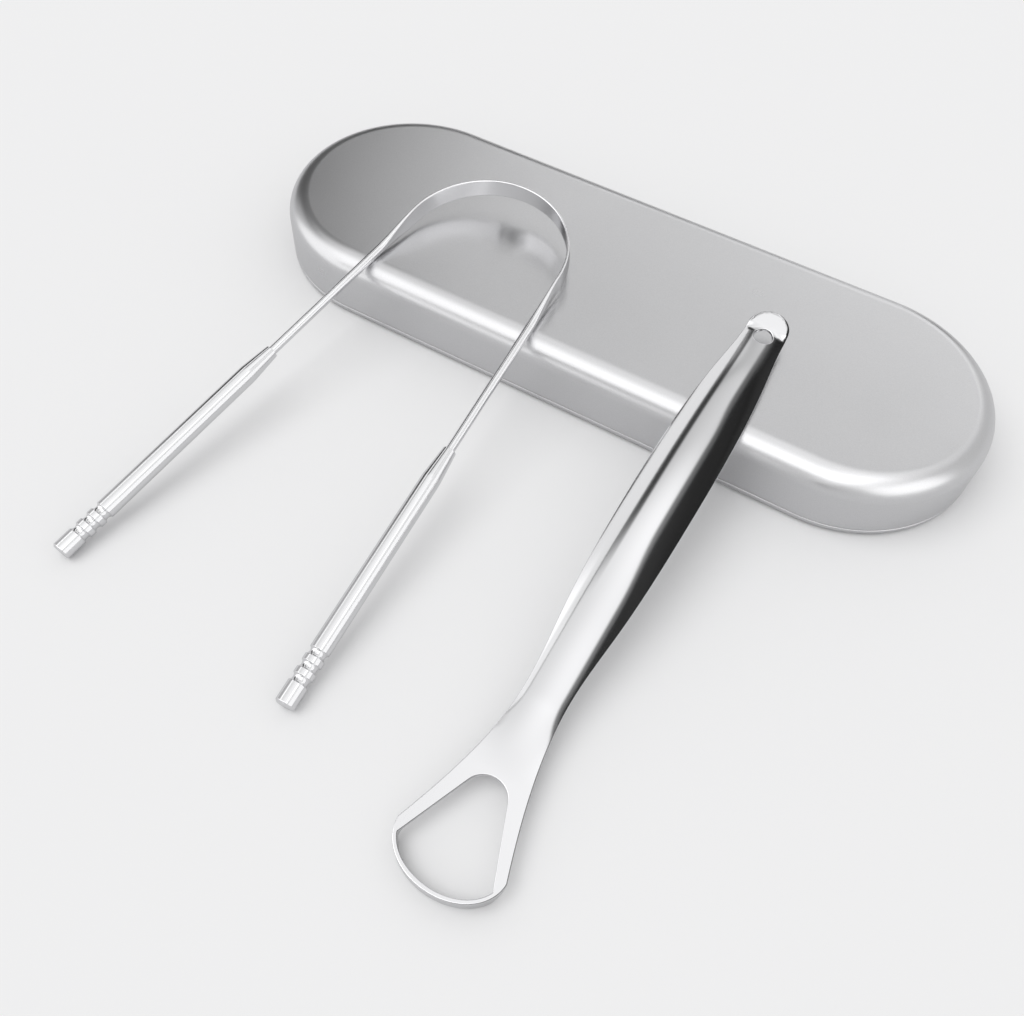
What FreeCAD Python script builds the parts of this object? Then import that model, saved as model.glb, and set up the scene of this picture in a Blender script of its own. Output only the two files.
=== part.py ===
import FreeCAD, Part
import math
import os

# A tongue scraper set: a wire scraper and a loop scraper lean on the front of the case they travel in.
# Millimetres. X runs along the case, Y from front to back and Z up. The origin is the middle of the foot.

# Case: a drawn lid slipped over a drawn tray, both with half round ends
CASE_LENGTH = 165.0
CASE_WIDTH = 57.0
CASE_HEIGHT = 15.5
CASE_SHEET = 0.6
LID_EDGE_RADIUS = 5.0
RIM_STEP_HEIGHT = 0.8
RIM_EDGE_RADIUS = 1.6
ROUNDING_SHARE = 0.9
SEAM_GAP = 0.15
LID_CLEARANCE = 0.25
WALL_TOP_CLEARANCE = 0.5

# Wire scraper: one wire bent to a U and flattened round its arch, with a turned handle on each end
SCRAPER_LENGTH = 119.1
TIP_SPACING = 54.2
ARCH_RADIUS = 18.5
WIRE_DIAMETER = 1.85
BAND_WIDTH = 4.4
BAND_THICKNESS = 0.6
BAND_BLEND_LENGTH = 13.0
BAND_BLEND_STEPS = 4
BAND_CROWN = 0.02
HANDLE_LENGTH = 56.6
HANDLE_DIAMETER = 3.9
HANDLE_TAPER_LENGTH = 7.0
HANDLE_END_WALL = 0.43
TIP_CHAMFER = 0.4
FIRST_GROOVE = 5.1
GROOVE_PITCH = 2.65
GROOVE_COUNT = 3
GROOVE_WIDTH = 1.5
GROOVE_DEPTH = 0.4
SOCKET_DEPTH = 12.0
SOCKET_CLEARANCE = 0.02
SOCKET_END_GAP = 0.2

# Loop scraper: one pressed sheet, flat round the loop, crowned along the handle, with a blade turned down
LOOP_SCRAPER_LENGTH = 130.9
LOOP_SHEET = 0.8
LOOP_WIDTH = 20.4
LOOP_FRONT_DEPTH = 7.5
LOOP_FLARE = 0.33
BLADE_HEIGHT = 3.2
FOLD_LENGTH = 3.0
CUT_TOP = 20.8
CUT_TOP_RADIUS = 4.0
CUT_FLARE_ANGLE = 21.8
WAIST_AT = 37.4
WAIST_WIDTH = 8.6
SWELL_AT = 52.0
SWELL_WIDTH = 11.0
GRIP_AT = 76.0
GRIP_WIDTH = 13.2
TAPER_SETBACK = 17.9
TAPER_WIDTH = 11.0
END_RADIUS = 4.75
CROWN_HEIGHT = 2.4
CROWN_START = 21.0
CROWN_FULL = 37.0
PAD_LENGTH = 5.9
PAD_BEND_LENGTH = 1.6
PAD_BEND_ANGLE = 20.0
NECK_AT = 24.0
NECK_BEND_ANGLE = 10.5
NECK_RADIUS = 60.0
BOW_RADIUS = 490.0
HANG_HOLE_DIAMETER = 4.0
HANG_HOLE_SETBACK = 6.7
SECTION_COUNT = 24
SECTION_MARGIN = 0.5

# Where the scrapers lean on the lid's front edge: the wire just below its flattened part
WIRE_SCRAPER_X = -33.8
WIRE_SCRAPER_YAW = -3.44
WIRE_REST_SETBACK = 2.5
LOOP_SCRAPER_X = 30.8
LOOP_SCRAPER_REACH = 98.3
LOOP_SCRAPER_YAW = -1.15
LEAN_GAP = 0.15

# Sizes that follow
rim_height = 2 * CASE_SHEET + RIM_STEP_HEIGHT
lid_bottom = rim_height + SEAM_GAP
wall_inset = CASE_SHEET + LID_CLEARANCE
wall_top = CASE_HEIGHT - LID_EDGE_RADIUS - WALL_TOP_CLEARANCE
arch_centre = SCRAPER_LENGTH - ARCH_RADIUS - BAND_THICKNESS / 2
tip_distance = math.hypot(TIP_SPACING / 2, arch_centre)
arm_length = math.sqrt(tip_distance ** 2 - ARCH_RADIUS ** 2)
arm_angle = math.atan2(TIP_SPACING / 2, arch_centre) - math.asin(ARCH_RADIUS / tip_distance)
loop_half = LOOP_WIDTH / 2
loop_floor = BLADE_HEIGHT - LOOP_SHEET
crown_radius = ((GRIP_WIDTH / 2) ** 2 + CROWN_HEIGHT ** 2) / (2 * CROWN_HEIGHT)
neck_bend = math.radians(NECK_BEND_ANGLE)
bow_start = NECK_AT + NECK_RADIUS * math.sin(neck_bend)
bow_start_height = loop_floor + NECK_RADIUS * (1 - math.cos(neck_bend))
bow_centre = bow_start + BOW_RADIUS * math.sin(neck_bend)
bow_centre_height = bow_start_height - BOW_RADIUS * math.cos(neck_bend)
end_centre = LOOP_SCRAPER_LENGTH - END_RADIUS
pad_bend = LOOP_SCRAPER_LENGTH - PAD_LENGTH
crown_end = pad_bend - PAD_BEND_LENGTH / 2
pad_start = pad_bend + PAD_BEND_LENGTH / 2

X = FreeCAD.Vector(1, 0, 0)
Y = FreeCAD.Vector(0, 1, 0)
Z = FreeCAD.Vector(0, 0, 1)
ORIGIN = FreeCAD.Vector(0, 0, 0)
LEVEL = 1e-4


def point(x, y, z=0.0):
    """Return a point."""
    return FreeCAD.Vector(x, y, z)


def arc(start, middle, end):
    """Return the circular edge through three points."""
    return Part.Arc(start, middle, end).toShape()


def blend(start, end, share):
    """Return the value a share of the way from start to end."""
    return start + (end - start) * share


def ease(share):
    """Return a share between 0 and 1 that starts and stops gently."""
    share = min(max(share, 0.0), 1.0)
    return share * share * (3 - 2 * share)


def stadium(inset, bottom, top):
    """Return a solid with the case's outline, moved inwards by inset."""
    radius = CASE_WIDTH / 2 - inset
    reach = (CASE_LENGTH - CASE_WIDTH) / 2
    front_left = point(-reach, -radius, bottom)
    front_right = point(reach, -radius, bottom)
    back_right = point(reach, radius, bottom)
    back_left = point(-reach, radius, bottom)
    outline = Part.Wire([
        Part.makeLine(front_left, front_right),
        arc(front_right, point(reach + radius, 0, bottom), back_right),
        Part.makeLine(back_right, back_left),
        arc(back_left, point(-reach - radius, 0, bottom), front_left),
    ])
    return Part.Face(outline).extrude(point(0, 0, top - bottom))


def round_level_edges(shape, height, radius):
    """Round the edges of a shape that lie level at a height."""
    level = []
    for edge in shape.Edges:
        heights = [vertex.Z for vertex in edge.Vertexes] + [edge.CenterOfMass.z]
        if all(abs(z - height) < LEVEL for z in heights):
            level.append(edge)
    return shape.makeFillet(radius, level)


def make_case_base():
    """Return the tray: a rim flush with the lid, and a wall that steps in to stand inside it."""
    rim_rounding = min(RIM_EDGE_RADIUS, ROUNDING_SHARE * rim_height)
    step_rounding = min(RIM_EDGE_RADIUS, ROUNDING_SHARE * RIM_STEP_HEIGHT)
    rim = round_level_edges(stadium(0, 0, rim_height), 0, rim_rounding)
    wall = stadium(wall_inset, rim_height - CASE_SHEET, wall_top)
    hollow = stadium(wall_inset + CASE_SHEET, CASE_SHEET, wall_top + CASE_SHEET)
    step = stadium(CASE_SHEET, CASE_SHEET, rim_height - CASE_SHEET)
    step = round_level_edges(step, CASE_SHEET, step_rounding)
    return rim.fuse(wall).cut(hollow).cut(step).removeSplitter()


def make_case_lid():
    """Return the lid: a skirt down to the tray's rim and a rounded top edge."""
    outside = round_level_edges(stadium(0, lid_bottom, CASE_HEIGHT), CASE_HEIGHT, LID_EDGE_RADIUS)
    ceiling = CASE_HEIGHT - CASE_SHEET
    inside = stadium(CASE_SHEET, lid_bottom - CASE_SHEET, ceiling)
    inside = round_level_edges(inside, ceiling, LID_EDGE_RADIUS - CASE_SHEET)
    return outside.cut(inside)


def wire_section(along, flatness):
    """Return the wire's section across an arm, round at flatness 0 and a band at 1.

    The arm runs along Y from its tip, X points away from the other arm and Z is square to the U.
    """
    round_corner = WIRE_DIAMETER / 2 * math.sqrt(0.5)
    side = blend(WIRE_DIAMETER / 2, BAND_THICKNESS / 2, flatness)
    top = blend(WIRE_DIAMETER / 2, BAND_WIDTH / 2, flatness)
    corner_x = blend(round_corner, BAND_THICKNESS / 2 - BAND_CROWN, flatness)
    corner_z = blend(round_corner, (BAND_WIDTH - BAND_THICKNESS) / 2, flatness)
    outer_low = point(corner_x, along, -corner_z)
    outer_high = point(corner_x, along, corner_z)
    inner_high = point(-corner_x, along, corner_z)
    inner_low = point(-corner_x, along, -corner_z)
    return Part.Wire([
        arc(outer_low, point(side, along, 0), outer_high),
        arc(outer_high, point(0, along, top), inner_high),
        arc(inner_high, point(-side, along, 0), inner_low),
        arc(inner_low, point(0, along, -top), outer_low),
    ])


def on_right_arm(shape):
    """Return a copy of a shape moved from an arm's own axes to the right arm of the U."""
    moved = shape.copy()
    moved.Placement = FreeCAD.Placement(
        point(TIP_SPACING / 2, 0), FreeCAD.Rotation(Z, math.degrees(arm_angle)))
    return moved


def make_wire():
    """Return the wire in the plane of the U: two arms, blended into the flat band of the arch."""
    wire_start = HANDLE_LENGTH - SOCKET_DEPTH + SOCKET_END_GAP
    blend_start = arm_length - BAND_BLEND_LENGTH
    straight = Part.makeCylinder(
        WIRE_DIAMETER / 2, blend_start - wire_start, point(0, wire_start), Y)
    sections = []
    for step in range(BAND_BLEND_STEPS + 1):
        share = step / BAND_BLEND_STEPS
        sections.append(wire_section(blend(blend_start, arm_length, share), ease(share)))
    flattened = Part.makeLoft(sections, True)
    right = on_right_arm(straight.fuse(flattened))
    left = right.mirror(ORIGIN, X)
    band = on_right_arm(Part.Face(wire_section(arm_length, 1.0)))
    arch = band.revolve(point(0, arch_centre), Z, 180 - 2 * math.degrees(arm_angle))
    return arch.fuse([right, left]).removeSplitter()


def make_handle():
    """Return one handle along Y from its tip, with grip grooves and a socket for the wire."""
    radius = HANDLE_DIAMETER / 2
    socket = WIRE_DIAMETER / 2 + SOCKET_CLEARANCE
    socket_floor = HANDLE_LENGTH - SOCKET_DEPTH
    tip_rim = point(radius - TIP_CHAMFER, 0)
    last = point(radius, TIP_CHAMFER)
    profile = [Part.makeLine(ORIGIN, tip_rim), Part.makeLine(tip_rim, last)]
    for index in range(GROOVE_COUNT):
        middle = FIRST_GROOVE + index * GROOVE_PITCH
        groove_start = point(radius, middle - GROOVE_WIDTH / 2)
        groove_end = point(radius, middle + GROOVE_WIDTH / 2)
        profile.append(Part.makeLine(last, groove_start))
        profile.append(arc(groove_start, point(radius - GROOVE_DEPTH, middle), groove_end))
        last = groove_end
    corners = [
        last,
        point(radius, HANDLE_LENGTH - HANDLE_TAPER_LENGTH),
        point(socket + HANDLE_END_WALL, HANDLE_LENGTH),
        point(socket, HANDLE_LENGTH),
        point(socket, socket_floor),
        point(0, socket_floor),
        ORIGIN,
    ]
    for start, end in zip(corners, corners[1:]):
        profile.append(Part.makeLine(start, end))
    return Part.Face(Part.Wire(profile)).revolve(ORIGIN, Y, 360)


def wire_scraper_placement():
    """Return where the U lies: its tips on the floor, its lower arm just clear of the lid's front edge.

    In a view along X, the lower arm passes the middle of the lid's edge rounding at a known distance.
    """
    yaw = math.radians(WIRE_SCRAPER_YAW)
    low_side = math.copysign(1, yaw)
    tip_z = HANDLE_DIAMETER / 2
    edge_y = LID_EDGE_RADIUS - CASE_WIDTH / 2
    rise = CASE_HEIGHT - LID_EDGE_RADIUS - tip_z
    clear = LID_EDGE_RADIUS + WIRE_DIAMETER / 2 + LEAN_GAP
    rest = arm_length - BAND_BLEND_LENGTH - WIRE_REST_SETBACK
    run = math.sqrt(rest ** 2 + clear ** 2 - rise ** 2)
    slope = math.tan(math.atan2(rise, run) + math.atan2(clear, rest))
    along = math.cos(arm_angle)
    ahead = slope * along * math.cos(yaw)
    aside = -low_side * slope * math.sin(arm_angle) * math.sin(yaw)
    pitch = math.atan2(ahead, along) + math.asin(aside / math.hypot(along, ahead))
    tip_y = edge_y - run - low_side * TIP_SPACING / 2 * math.sin(yaw)
    turn = FreeCAD.Rotation(Z, WIRE_SCRAPER_YAW) * FreeCAD.Rotation(X, math.degrees(pitch))
    return FreeCAD.Placement(point(WIRE_SCRAPER_X, tip_y, tip_z), turn)


def side_stations():
    """Return the places along the loop scraper's handle, with half its width at each."""
    return [
        (LOOP_FRONT_DEPTH, loop_half),
        (WAIST_AT, WAIST_WIDTH / 2),
        (SWELL_AT, SWELL_WIDTH / 2),
        (GRIP_AT, GRIP_WIDTH / 2),
        (LOOP_SCRAPER_LENGTH - TAPER_SETBACK, TAPER_WIDTH / 2),
        (end_centre, END_RADIUS),
    ]


def side_curve():
    """Return the right side of the loop scraper's outline, from the loop's corner to the round end."""
    curve = Part.BSplineCurve()
    curve.interpolate(
        Points=[point(half, along) for along, half in side_stations()],
        InitialTangent=point(-LOOP_FLARE, 1),
        FinalTangent=Y)
    return curve


def half_width(along):
    """Return half the width of the loop scraper's outline at a place along it."""
    along = min(along, end_centre)
    across = Part.Line(point(0, along), point(1, along)).toShape(0, LOOP_WIDTH)
    return side_curve().toShape().distToShape(across)[1][0][0].x


def upper_edge(along):
    """Return the height of the sheet's upper edge: level, bent up at the neck, then bowed."""
    if along <= NECK_AT:
        return BLADE_HEIGHT
    if along <= bow_start:
        return BLADE_HEIGHT + NECK_RADIUS - math.sqrt(NECK_RADIUS ** 2 - (along - NECK_AT) ** 2)
    bow = math.sqrt(BOW_RADIUS ** 2 - (along - bow_centre) ** 2)
    return bow_centre_height + LOOP_SHEET + bow


def crown(along):
    """Return how far the handle's middle stands above its edges: one radius from the waist on."""
    full = crown_radius - math.sqrt(crown_radius ** 2 - half_width(along) ** 2)
    return full * ease((along - CROWN_START) / (CROWN_FULL - CROWN_START))


def flat_section(along, top, thickness):
    """Return the section of the sheet where it is flat across, a little wider than the outline."""
    wide = half_width(along) + SECTION_MARGIN
    return Part.makePolygon([
        point(-wide, along, top),
        point(wide, along, top),
        point(wide, along, top - thickness),
        point(-wide, along, top - thickness),
        point(-wide, along, top),
    ])


def pad_section(along):
    """Return the section of the flat pad at the handle's end, bent up from the crown's top."""
    bend = math.radians(PAD_BEND_ANGLE)
    crown_top = upper_edge(pad_bend) + crown(pad_bend)
    top = crown_top + (along - pad_bend) * math.tan(bend)
    return flat_section(along, top, LOOP_SHEET / math.cos(bend))


def handle_section(along):
    """Return the pressed sheet's section across the handle, a little wider than the outline."""
    half = half_width(along)
    rise = crown(along)
    top = upper_edge(along)
    if rise == 0:
        return flat_section(along, top, LOOP_SHEET)
    radius = (half ** 2 + rise ** 2) / (2 * rise)
    under = radius - LOOP_SHEET
    axis_z = top + rise - radius
    spread = math.asin((half + SECTION_MARGIN) / radius)
    side_x = math.sin(spread)
    side_z = math.cos(spread)
    left_upper = point(-radius * side_x, along, axis_z + radius * side_z)
    right_upper = point(radius * side_x, along, axis_z + radius * side_z)
    right_under = point(under * side_x, along, axis_z + under * side_z)
    left_under = point(-under * side_x, along, axis_z + under * side_z)
    return Part.Wire([
        arc(left_upper, point(0, along, axis_z + radius), right_upper),
        Part.makeLine(right_upper, right_under),
        arc(right_under, point(0, along, axis_z + under), left_under),
        Part.makeLine(left_under, left_upper),
    ])


def make_loop_plate():
    """Return the level sheet round the loop, before its outline is cut."""
    margin = SECTION_MARGIN
    corner = point(-loop_half - margin, -margin, loop_floor)
    return Part.makeBox(LOOP_WIDTH + 2 * margin, CROWN_START + margin, LOOP_SHEET, corner)


def make_handle_sheet():
    """Return the bent, bowed and crowned sheet of the handle, before its outline is cut."""
    sections = []
    for index in range(SECTION_COUNT + 1):
        sections.append(handle_section(blend(CROWN_START, crown_end, index / SECTION_COUNT)))
    return Part.makeLoft(sections, True)


def make_pad_bend():
    """Return the bent sheet between the crowned handle and the flat pad, before its outline is cut."""
    return Part.makeLoft([handle_section(crown_end), pad_section(pad_start)], True, True)


def make_pad():
    """Return the flat pad at the handle's end, before its outline is cut."""
    sheet_end = LOOP_SCRAPER_LENGTH + SECTION_MARGIN
    return Part.makeLoft([pad_section(pad_start), pad_section(sheet_end)], True, True)


def front_curve(inset):
    """Return the half ellipse of the loop's front, from left to right, moved inwards by inset."""
    width = loop_half - inset
    poles = [
        point(-width, LOOP_FRONT_DEPTH),
        point(-width, inset),
        point(0, inset),
        point(width, inset),
        point(width, LOOP_FRONT_DEPTH),
    ]
    corner_weight = math.sqrt(0.5)
    curve = Part.BSplineCurve()
    curve.buildFromPolesMultsKnots(
        poles, (3, 2, 3), (0, 1, 2), False, 2, (1, corner_weight, 1, corner_weight, 1))
    return curve.toShape()


def upright(wire, height):
    """Return the solid over a closed plan wire, from the floor to a height."""
    return Part.Face(wire).extrude(point(0, 0, height))


def make_outline(height):
    """Return the upright solid inside the loop scraper's outline."""
    right = side_curve().toShape()
    left = right.mirror(ORIGIN, X)
    end = arc(point(END_RADIUS, end_centre), point(0, LOOP_SCRAPER_LENGTH), point(-END_RADIUS, end_centre))
    return upright(Part.Wire(Part.sortEdges([front_curve(0), right, end, left])[0]), height)


def make_front(inset, height):
    """Return the upright solid inside the loop's front, moved inwards by inset, back to its corners."""
    curve = front_curve(inset)
    chord = Part.makeLine(curve.Vertexes[1].Point, curve.Vertexes[0].Point)
    return upright(Part.Wire([curve, chord]), height)


def make_cut_out(height):
    """Return the upright solid of the loop's opening, round at the top and flared down to the blade."""
    flare = math.radians(CUT_FLARE_ANGLE)
    top_centre = CUT_TOP - CUT_TOP_RADIUS
    tangent_x = CUT_TOP_RADIUS * math.cos(flare)
    tangent_y = top_centre + CUT_TOP_RADIUS * math.sin(flare)
    front_x = tangent_x + tangent_y * math.tan(flare)
    right_top = point(tangent_x, tangent_y)
    left_top = point(-tangent_x, tangent_y)
    right_front = point(front_x, 0)
    left_front = point(-front_x, 0)
    flared = upright(Part.Wire([
        arc(right_top, point(0, CUT_TOP), left_top),
        Part.makeLine(left_top, left_front),
        Part.makeLine(left_front, right_front),
        Part.makeLine(right_front, right_top),
    ]), height)
    behind = Part.makeBox(LOOP_WIDTH, CUT_TOP, height, point(-loop_half, LOOP_FRONT_DEPTH))
    return flared.common(make_front(LOOP_SHEET, height).fuse(behind))


def make_blade():
    """Return the blade: the sheet turned down round the loop's front, its ends rising into the arms."""
    strip = make_front(0, BLADE_HEIGHT).cut(make_front(LOOP_SHEET, BLADE_HEIGHT))
    fold_foot = LOOP_FRONT_DEPTH - FOLD_LENGTH
    side = Part.Wire(Part.makePolygon([
        point(-LOOP_WIDTH, 0, 0),
        point(-LOOP_WIDTH, fold_foot, 0),
        point(-LOOP_WIDTH, LOOP_FRONT_DEPTH, loop_floor),
        point(-LOOP_WIDTH, LOOP_FRONT_DEPTH, BLADE_HEIGHT),
        point(-LOOP_WIDTH, 0, BLADE_HEIGHT),
        point(-LOOP_WIDTH, 0, 0),
    ]))
    return strip.common(Part.Face(side).extrude(point(2 * LOOP_WIDTH, 0, 0)))


def make_loop_scraper():
    """Return the loop scraper, its foot on the floor at the origin and its handle along Y."""
    height = bow_centre_height + BOW_RADIUS + LOOP_SHEET + CROWN_HEIGHT + PAD_LENGTH
    hole = Part.makeCylinder(
        HANG_HOLE_DIAMETER / 2, height, point(0, LOOP_SCRAPER_LENGTH - HANG_HOLE_SETBACK), Z)
    outline = make_outline(height)
    loop = make_loop_plate().common(outline).cut(make_cut_out(height)).fuse(make_blade())
    stretches = [make_handle_sheet(), make_pad_bend(), make_pad()]
    handle = [stretch.common(outline).cut(hole) for stretch in stretches]
    return loop.fuse(handle).removeSplitter()


def loop_scraper_placement():
    """Return where the loop scraper lies: its blade on the floor, its handle just clear of the lid's edge.

    The middles of the bow and of the lid's edge rounding make a triangle of known sides with the foot.
    """
    foot_y = -CASE_WIDTH / 2 - LOOP_SCRAPER_REACH
    yaw = math.radians(LOOP_SCRAPER_YAW)
    run = (LID_EDGE_RADIUS - CASE_WIDTH / 2 - foot_y) / math.cos(yaw)
    rise = CASE_HEIGHT - LID_EDGE_RADIUS
    to_edge = math.hypot(run, rise)
    to_bow = math.hypot(bow_centre, bow_centre_height)
    edge_drop = LOOP_SHEET / math.cos(math.asin(GRIP_WIDTH / 2 / crown_radius)) - LOOP_SHEET
    between = BOW_RADIUS - LID_EDGE_RADIUS - LEAN_GAP - edge_drop
    corner = math.acos((to_edge ** 2 + to_bow ** 2 - between ** 2) / (2 * to_edge * to_bow))
    pitch = math.atan2(rise, run) - corner - math.atan2(bow_centre_height, bow_centre)
    turn = FreeCAD.Rotation(Z, LOOP_SCRAPER_YAW) * FreeCAD.Rotation(X, math.degrees(pitch))
    return FreeCAD.Placement(point(LOOP_SCRAPER_X, foot_y), turn)


def placed(shape, placement):
    """Return a copy of a shape moved to its place in the set."""
    moved = shape.copy()
    moved.Placement = placement.multiply(moved.Placement)
    return moved


def make_set():
    """Return every piece of the set by name, in its place."""
    on_case = wire_scraper_placement()
    right_handle = on_right_arm(make_handle())
    left_handle = right_handle.mirror(ORIGIN, X)
    return {
        "case_base": make_case_base(),
        "case_lid": make_case_lid(),
        "scraper_wire": placed(make_wire(), on_case),
        "left_handle": placed(left_handle, on_case),
        "right_handle": placed(right_handle, on_case),
        "loop_scraper": placed(make_loop_scraper(), loop_scraper_placement()),
    }


os.makedirs("parts", exist_ok=True)
for name, piece in make_set().items():
    piece.exportStep("parts/" + name + ".step")
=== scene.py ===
import logging
import math
from dataclasses import dataclass, field
from enum import Enum
from typing import Optional, Sequence

import bpy
import numpy as np
from mathutils import Matrix, Vector
from mathutils.geometry import delaunay_2d_cdt


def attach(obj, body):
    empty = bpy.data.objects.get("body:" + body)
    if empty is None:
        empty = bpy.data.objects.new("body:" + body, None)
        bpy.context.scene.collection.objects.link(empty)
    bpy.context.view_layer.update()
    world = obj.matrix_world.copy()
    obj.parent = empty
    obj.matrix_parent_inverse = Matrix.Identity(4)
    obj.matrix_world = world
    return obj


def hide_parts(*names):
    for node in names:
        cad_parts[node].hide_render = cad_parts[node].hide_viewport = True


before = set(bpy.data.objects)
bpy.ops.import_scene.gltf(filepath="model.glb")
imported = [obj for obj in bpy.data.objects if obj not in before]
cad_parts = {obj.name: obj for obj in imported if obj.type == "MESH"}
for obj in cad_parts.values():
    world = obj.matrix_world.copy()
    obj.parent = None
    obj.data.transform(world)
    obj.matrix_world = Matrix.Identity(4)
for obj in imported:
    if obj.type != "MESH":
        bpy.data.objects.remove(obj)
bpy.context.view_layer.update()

logging.basicConfig(level=logging.INFO, format="%(name)s: %(message)s")
LOG = logging.getLogger("tongue_scraper_set")

MM = 0.001
Array = np.ndarray
Faces = list[tuple[int, ...]]
Colour = tuple[float, float, float]
Point = tuple[float, float, float]


class Slot(Enum):
    """The record's material slots."""

    CASE = "case_metal"
    STEEL = "polished_steel"


class Assembly(Enum):
    """The set's three things."""

    CASE = "case"
    WIRE_SCRAPER = "wire scraper"
    LOOP_SCRAPER = "loop scraper"


class Body(Enum):
    """The bodies that the pieces ride on."""

    BASE = "base"
    LID = "lid"
    WIRE_SCRAPER = "wire_scraper"
    LOOP = "loop"


Pieces = dict[Assembly, list[bpy.types.Object]]


@dataclass
class Draft:
    """A mesh being built: points and their exact normals in millimetres, and faces.

    Args:
        points: one row of three coordinates for each vertex.
        normals: one outward normal for each vertex.
        faces: vertex numbers of each face, counter-clockwise from outside.
        count: how many vertices there are so far.
    """

    points: list[Array] = field(default_factory=list)
    normals: list[Array] = field(default_factory=list)
    faces: Faces = field(default_factory=list)
    count: int = 0

    def add(self, points: Array, normals: Array) -> int:
        """Add vertices.

        Args:
            points: rows of coordinates.
            normals: rows of outward normals.

        Returns:
            The number of the first vertex added.
        """
        first = self.count
        self.points.append(np.asarray(points, float).reshape(-1, 3))
        self.normals.append(np.asarray(normals, float).reshape(-1, 3))
        self.count += len(self.points[-1])
        return first

    def skin(self, first: int, rows: int, columns: int, closed: bool) -> None:
        """Join a grid of vertices by four-sided faces.

        Args:
            first: number of the grid's first vertex.
            rows: how many rows the grid has.
            columns: how many vertices each row has.
            closed: whether each row's end joins its start.
        """
        last = columns if closed else columns - 1
        for row in range(rows - 1):
            for column in range(last):
                after = (column + 1) % columns
                low = first + row * columns
                high = low + columns
                self.faces.append((low + column, low + after, high + after, high + column))

    def turn_over(self) -> None:
        """Turn the other side of every face out."""
        self.faces = [face[::-1] for face in self.faces]

    def build(self, name: str, place: Matrix) -> bpy.types.Object:
        """Make the Blender object.

        Args:
            name: the piece's name.
            place: where the piece lies in the set, in millimetres.

        Returns:
            The new object, its place in its vertices.
        """
        turn = np.array(place.to_3x3())
        points = np.vstack(self.points) @ turn.T + np.array(place.translation)
        normals = np.vstack(self.normals) @ turn.T
        mesh = bpy.data.meshes.new(name)
        mesh.from_pydata((points * MM).tolist(), [], self.faces)
        mesh.validate()
        mesh.polygons.foreach_set("use_smooth", [True] * len(mesh.polygons))
        lengths = np.linalg.norm(normals, axis=1, keepdims=True)
        mesh.normals_split_custom_set_from_vertices((normals / lengths).tolist())
        mesh.update()
        piece = bpy.data.objects.new(name, mesh)
        bpy.context.scene.collection.objects.link(piece)
        return piece


@dataclass(frozen=True)
class Corner:
    """One corner of a turned or pressed profile.

    Args:
        out: distance from the axis or the middle line.
        up: height along the axis.
        radius: radius that the corner is rounded to.
    """

    out: float
    up: float
    radius: float = 0.0


def rounded_profile(corners: Sequence[Corner], steps: int = 6) -> tuple[Array, Array]:
    """Round the corners of an open profile whose outside is on its right hand.

    Args:
        corners: the profile's corners in order.
        steps: how many steps a rounding has.

    Returns:
        Points and outward normals, each a row of two numbers.
    """
    places = np.array([(corner.out, corner.up) for corner in corners])
    ways = np.diff(places, axis=0)
    ways /= np.linalg.norm(ways, axis=1, keepdims=True)
    sides = np.stack([ways[:, 1], -ways[:, 0]], axis=1)
    points = [places[0]]
    normals = [sides[0]]
    for index in range(1, len(corners) - 1):
        before, after = sides[index - 1], sides[index]
        turn = math.atan2(before[0] * after[1] - before[1] * after[0], before @ after)
        radius = corners[index].radius
        back = radius * math.tan(abs(turn) / 2)
        start = places[index] - ways[index - 1] * back
        bulge = math.copysign(radius, turn)
        centre = start - bulge * before
        for step in range(steps + 1):
            angle = turn * step / steps
            spin = np.array([[math.cos(angle), -math.sin(angle)], [math.sin(angle), math.cos(angle)]])
            normal = spin @ before
            points.append(centre + bulge * normal)
            normals.append(normal)
    points.append(places[-1])
    normals.append(sides[-1])
    return np.array(points), np.array(normals)


def ease(share: Array) -> Array:
    """Return shares between 0 and 1 that start and stop gently."""
    share = np.clip(share, 0.0, 1.0)
    return share * share * (3 - 2 * share)


def placement(x: float, y: float, z: float, yaw: float, pitch: float) -> Matrix:
    """Return a place in the set from a point in millimetres and two angles in degrees."""
    turn = Matrix.Rotation(math.radians(yaw), 4, "Z") @ Matrix.Rotation(math.radians(pitch), 4, "X")
    return Matrix.Translation((x, y, z)) @ turn


@dataclass(frozen=True)
class Fade:
    """A smooth change of a value over a range.

    Args:
        low: where the change starts.
        high: where it ends.
        start: the value up to low.
        end: the value from high on.
    """

    low: float
    high: float
    start: float
    end: float


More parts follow.
